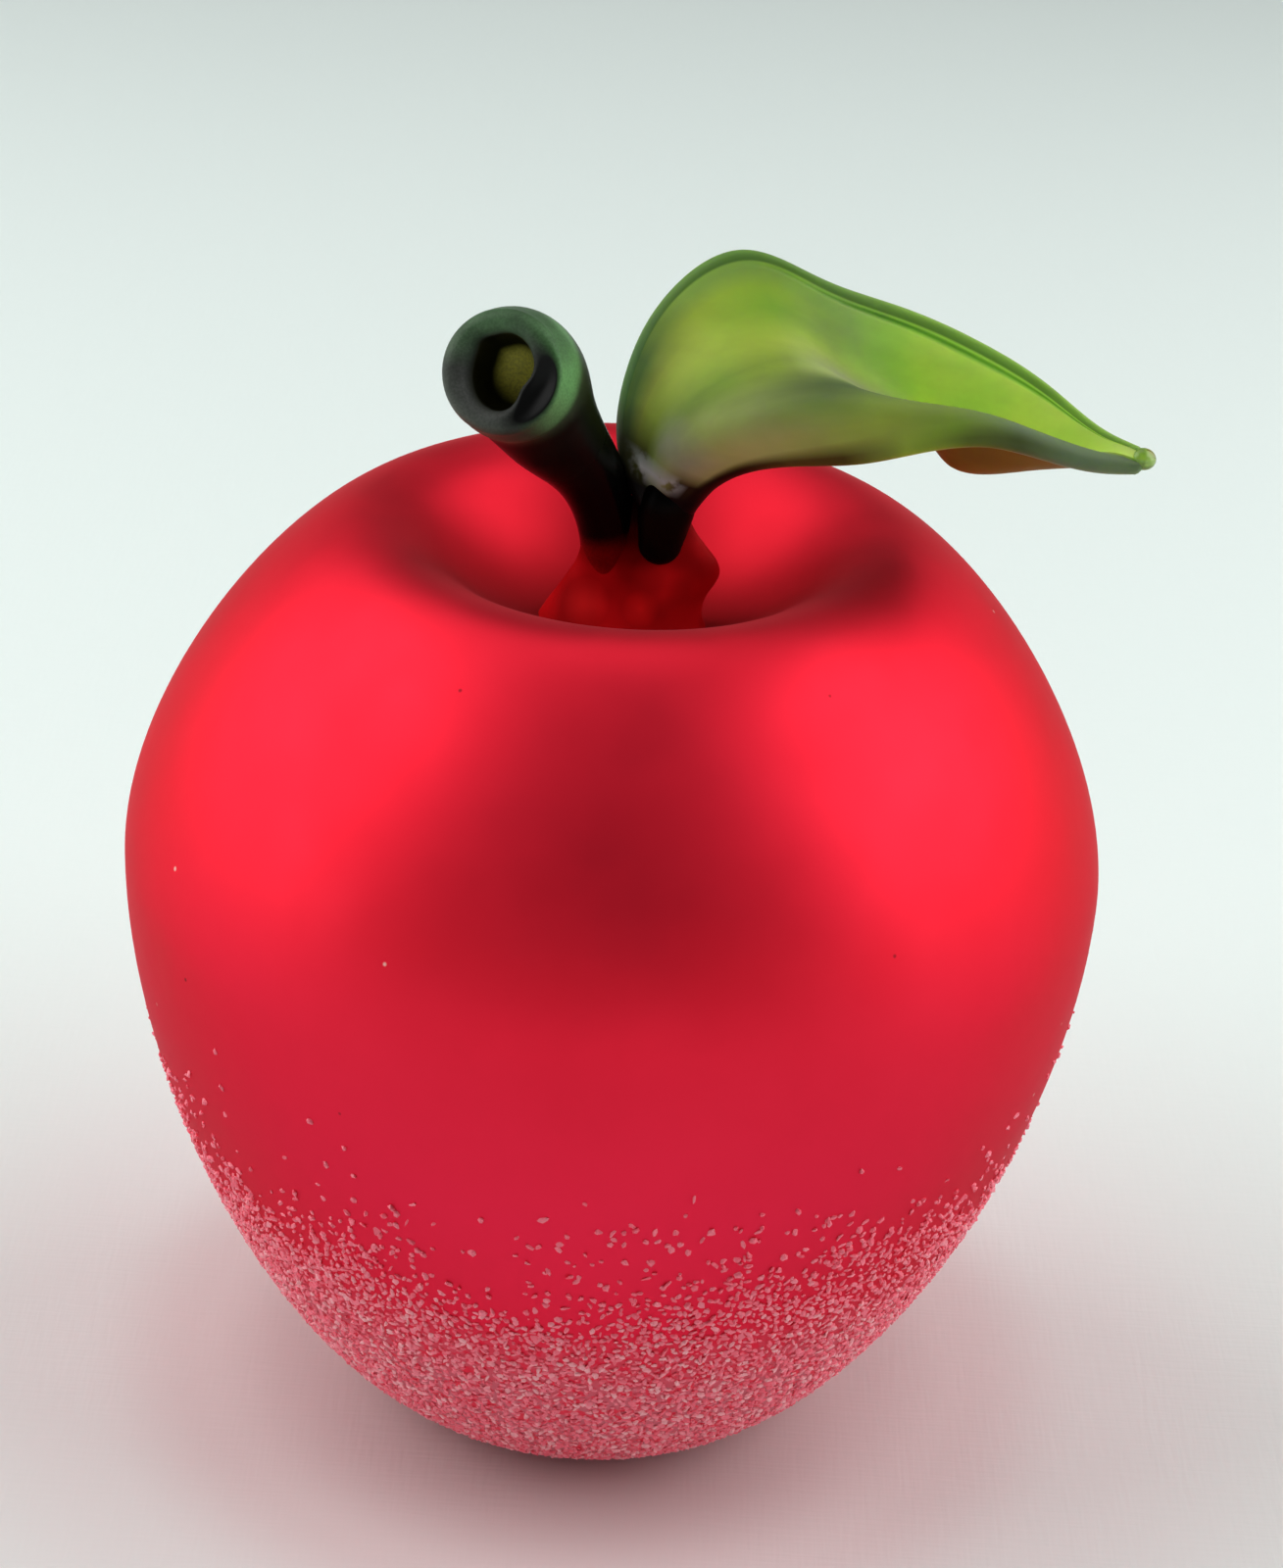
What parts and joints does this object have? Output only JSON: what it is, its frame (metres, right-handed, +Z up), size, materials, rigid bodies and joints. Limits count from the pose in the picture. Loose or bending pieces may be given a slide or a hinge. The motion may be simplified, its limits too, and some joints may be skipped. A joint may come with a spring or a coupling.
{
  "type": "glass apple ornament",
  "caption": "Hand-blown satin red glass apple with a speckled lower band, a dark curled open stem and a folded green leaf; a free-standing ornament.",
  "frame": {"origin": "middle of the flat foot that the apple stands on, on the body's axis", "axes": "+Z up along the body's axis, +X to the side that the leaf points to, -Y to the front that the stem's open end faces"},
  "size_m": [0.106, 0.106, 0.1345],
  "materials": {
    "clear_glass": "polished",
    "ruby_satin_glass": "satin",
    "pink_frit": "rough",
    "ruby_clear_glass": "gloss",
    "dark_green_glass": "satin",
    "leaf_green_glass": "satin",
    "lime_glass": "gloss"
  },
  "bodies": {
    "root": {"inner_gather": "clear_glass", "ruby_overlay": "ruby_satin_glass", "frit_coat": "pink_frit", "stem_boss": "ruby_clear_glass", "stem": "dark_green_glass", "leaf_foot": "dark_green_glass", "leaf_blade": "leaf_green_glass", "leaf_bead": "lime_glass"}
  },
  "joints": []
}
